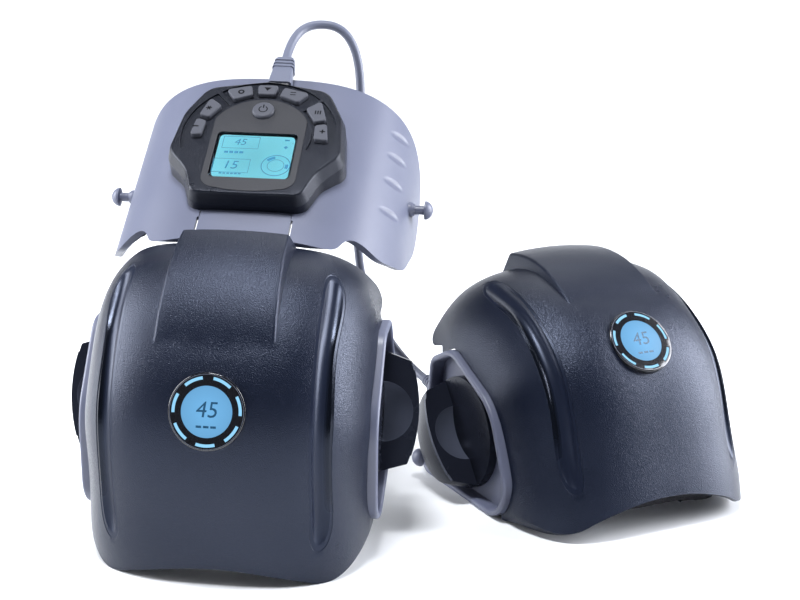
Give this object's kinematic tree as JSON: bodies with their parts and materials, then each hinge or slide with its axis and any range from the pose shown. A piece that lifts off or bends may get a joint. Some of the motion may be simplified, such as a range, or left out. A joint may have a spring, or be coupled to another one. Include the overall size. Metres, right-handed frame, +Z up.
{
  "type": "heated and cooled knee massager",
  "caption": "Pair of helmet-shaped knee massagers with lit round displays and side knobs; one carries a hinged thigh plate with a push-button controller, linked by a cord.",
  "frame": {"origin": "centre of the whole object's footprint box, on the floor, measured without the free cord and its plug", "axes": "+X to the right as the displays are seen, +Y away from the viewer, +Z up"},
  "size_m": [0.4338, 0.3252, 0.3083],
  "materials": {
    "shell": "fine grain, dark navy charcoal",
    "gloss_black": "polished",
    "black": "satin",
    "light_ring": "lit light blue",
    "lens": "lit light blue",
    "board": "board with solder mask",
    "frame": "satin blue grey",
    "pad": "soft",
    "knob": "satin dark grey",
    "module": "cast",
    "motor": "drawn can",
    "case": "satin",
    "insert": "semi gloss",
    "glass": "clear",
    "lcd": "lit cyan",
    "key": "moulded silicone, mid grey",
    "battery": "wrapped cell",
    "socket": "pressed shell",
    "cord": "satin blue grey",
    "pin": "ground"
  },
  "bodies": {
    "machine": {"main_front_shell": "shell", "main_groove_trim_left": "gloss_black", "main_groove_trim_right": "gloss_black", "main_display_bezel": "black", "main_display_light_ring": "light_ring", "main_display_lens": "lens", "main_display_board": "board", "main_inner_frame": "frame", "main_liner_pad": "pad", "main_heat_cool_module": "module", "main_vibration_motor": "motor", "main_strap_stud_right": "frame", "main_strap_stud_left": "frame", "second_front_shell": "shell", "second_groove_trim_left": "gloss_black", "second_groove_trim_right": "gloss_black", "second_display_bezel": "black", "second_display_light_ring": "light_ring", "second_display_lens": "lens", "second_display_board": "board", "second_inner_frame": "frame", "second_liner_pad": "pad", "second_heat_cool_module": "module", "second_vibration_motor": "motor", "second_strap_stud_right": "frame", "second_strap_stud_left": "frame", "thigh_hinge_pin": "pin", "link_gland": "cord", "link_cord": "cord"},
    "thigh": {"thigh_plate": "frame", "thigh_pad": "pad", "hinge_tongue": "frame", "thigh_stud_right": "frame", "thigh_stud_left": "frame", "controller_base_case": "case", "controller_top_case": "case", "controller_face_insert": "insert", "controller_lcd_glass": "glass", "controller_lcd_module": "lcd", "controller_board": "board", "controller_key_mat": "key", "controller_battery": "battery", "controller_socket": "socket", "link_plug": "cord", "link_plug_contacts": "socket"},
    "main_knob_left": {"main_knob_left": "knob"},
    "main_knob_right": {"main_knob_right": "knob"},
    "second_knob_left": {"second_knob_left": "knob"},
    "second_knob_right": {"second_knob_right": "knob"},
    "key_power": {"key_power": "key"},
    "key_minus": {"key_minus": "key"},
    "key_star": {"key_star": "key"},
    "key_circle": {"key_circle": "key"},
    "key_down": {"key_down": "key"},
    "key_mode": {"key_mode": "key"},
    "key_heat": {"key_heat": "key"},
    "key_cold": {"key_cold": "key"}
  },
  "joints": [
    {"name": "thigh_hinge", "type": "hinge", "parent": "machine", "child": "thigh", "pos_m": [-0.10583, -0.07565, 0.1877], "axis": [1, 0, 0], "range_deg": [0, 35]},
    {"name": "main_knob_left_turn", "type": "hinge", "parent": "machine", "child": "main_knob_left", "pos_m": [-0.18823, -0.05515, 0.0827], "axis": [1, 0, 0], "range_deg": [-50, 50]},
    {"name": "main_knob_right_turn", "type": "hinge", "parent": "machine", "child": "main_knob_right", "pos_m": [-0.02343, -0.05515, 0.0827], "axis": [1, 0, 0], "range_deg": [-50, 50]},
    {"name": "second_knob_left_turn", "type": "hinge", "parent": "machine", "child": "second_knob_left", "pos_m": [0.03227, 0.02578, 0.04379], "axis": [0.831, 0.5563, 0], "range_deg": [-50, 50]},
    {"name": "second_knob_right_turn", "type": "hinge", "parent": "machine", "child": "second_knob_right", "pos_m": [0.16922, 0.11746, 0.04379], "axis": [0.831, 0.5563, 0], "range_deg": [-50, 50]},
    {"name": "key_power_press", "type": "slide", "parent": "thigh", "child": "key_power", "axis": [0, 0.5505, -0.8348], "range_m": [0, 0.0008], "stiffness_N_per_m": 1500, "springref_m": -0.0004},
    {"name": "key_minus_press", "type": "slide", "parent": "thigh", "child": "key_minus", "axis": [0, 0.5505, -0.8348], "range_m": [0, 0.0008], "stiffness_N_per_m": 1500, "springref_m": -0.0004},
    {"name": "key_star_press", "type": "slide", "parent": "thigh", "child": "key_star", "axis": [0, 0.5505, -0.8348], "range_m": [0, 0.0008], "stiffness_N_per_m": 1500, "springref_m": -0.0004},
    {"name": "key_circle_press", "type": "slide", "parent": "thigh", "child": "key_circle", "axis": [0, 0.5505, -0.8348], "range_m": [0, 0.0008], "stiffness_N_per_m": 1500, "springref_m": -0.0004},
    {"name": "key_down_press", "type": "slide", "parent": "thigh", "child": "key_down", "axis": [0, 0.5505, -0.8348], "range_m": [0, 0.0008], "stiffness_N_per_m": 1500, "springref_m": -0.0004},
    {"name": "key_mode_press", "type": "slide", "parent": "thigh", "child": "key_mode", "axis": [0, 0.5505, -0.8348], "range_m": [0, 0.0008], "stiffness_N_per_m": 1500, "springref_m": -0.0004},
    {"name": "key_heat_press", "type": "slide", "parent": "thigh", "child": "key_heat", "axis": [0, 0.5505, -0.8348], "range_m": [0, 0.0008], "stiffness_N_per_m": 1500, "springref_m": -0.0004},
    {"name": "key_cold_press", "type": "slide", "parent": "thigh", "child": "key_cold", "axis": [0, 0.5505, -0.8348], "range_m": [0, 0.0008], "stiffness_N_per_m": 1500, "springref_m": -0.0004}
  ]
}
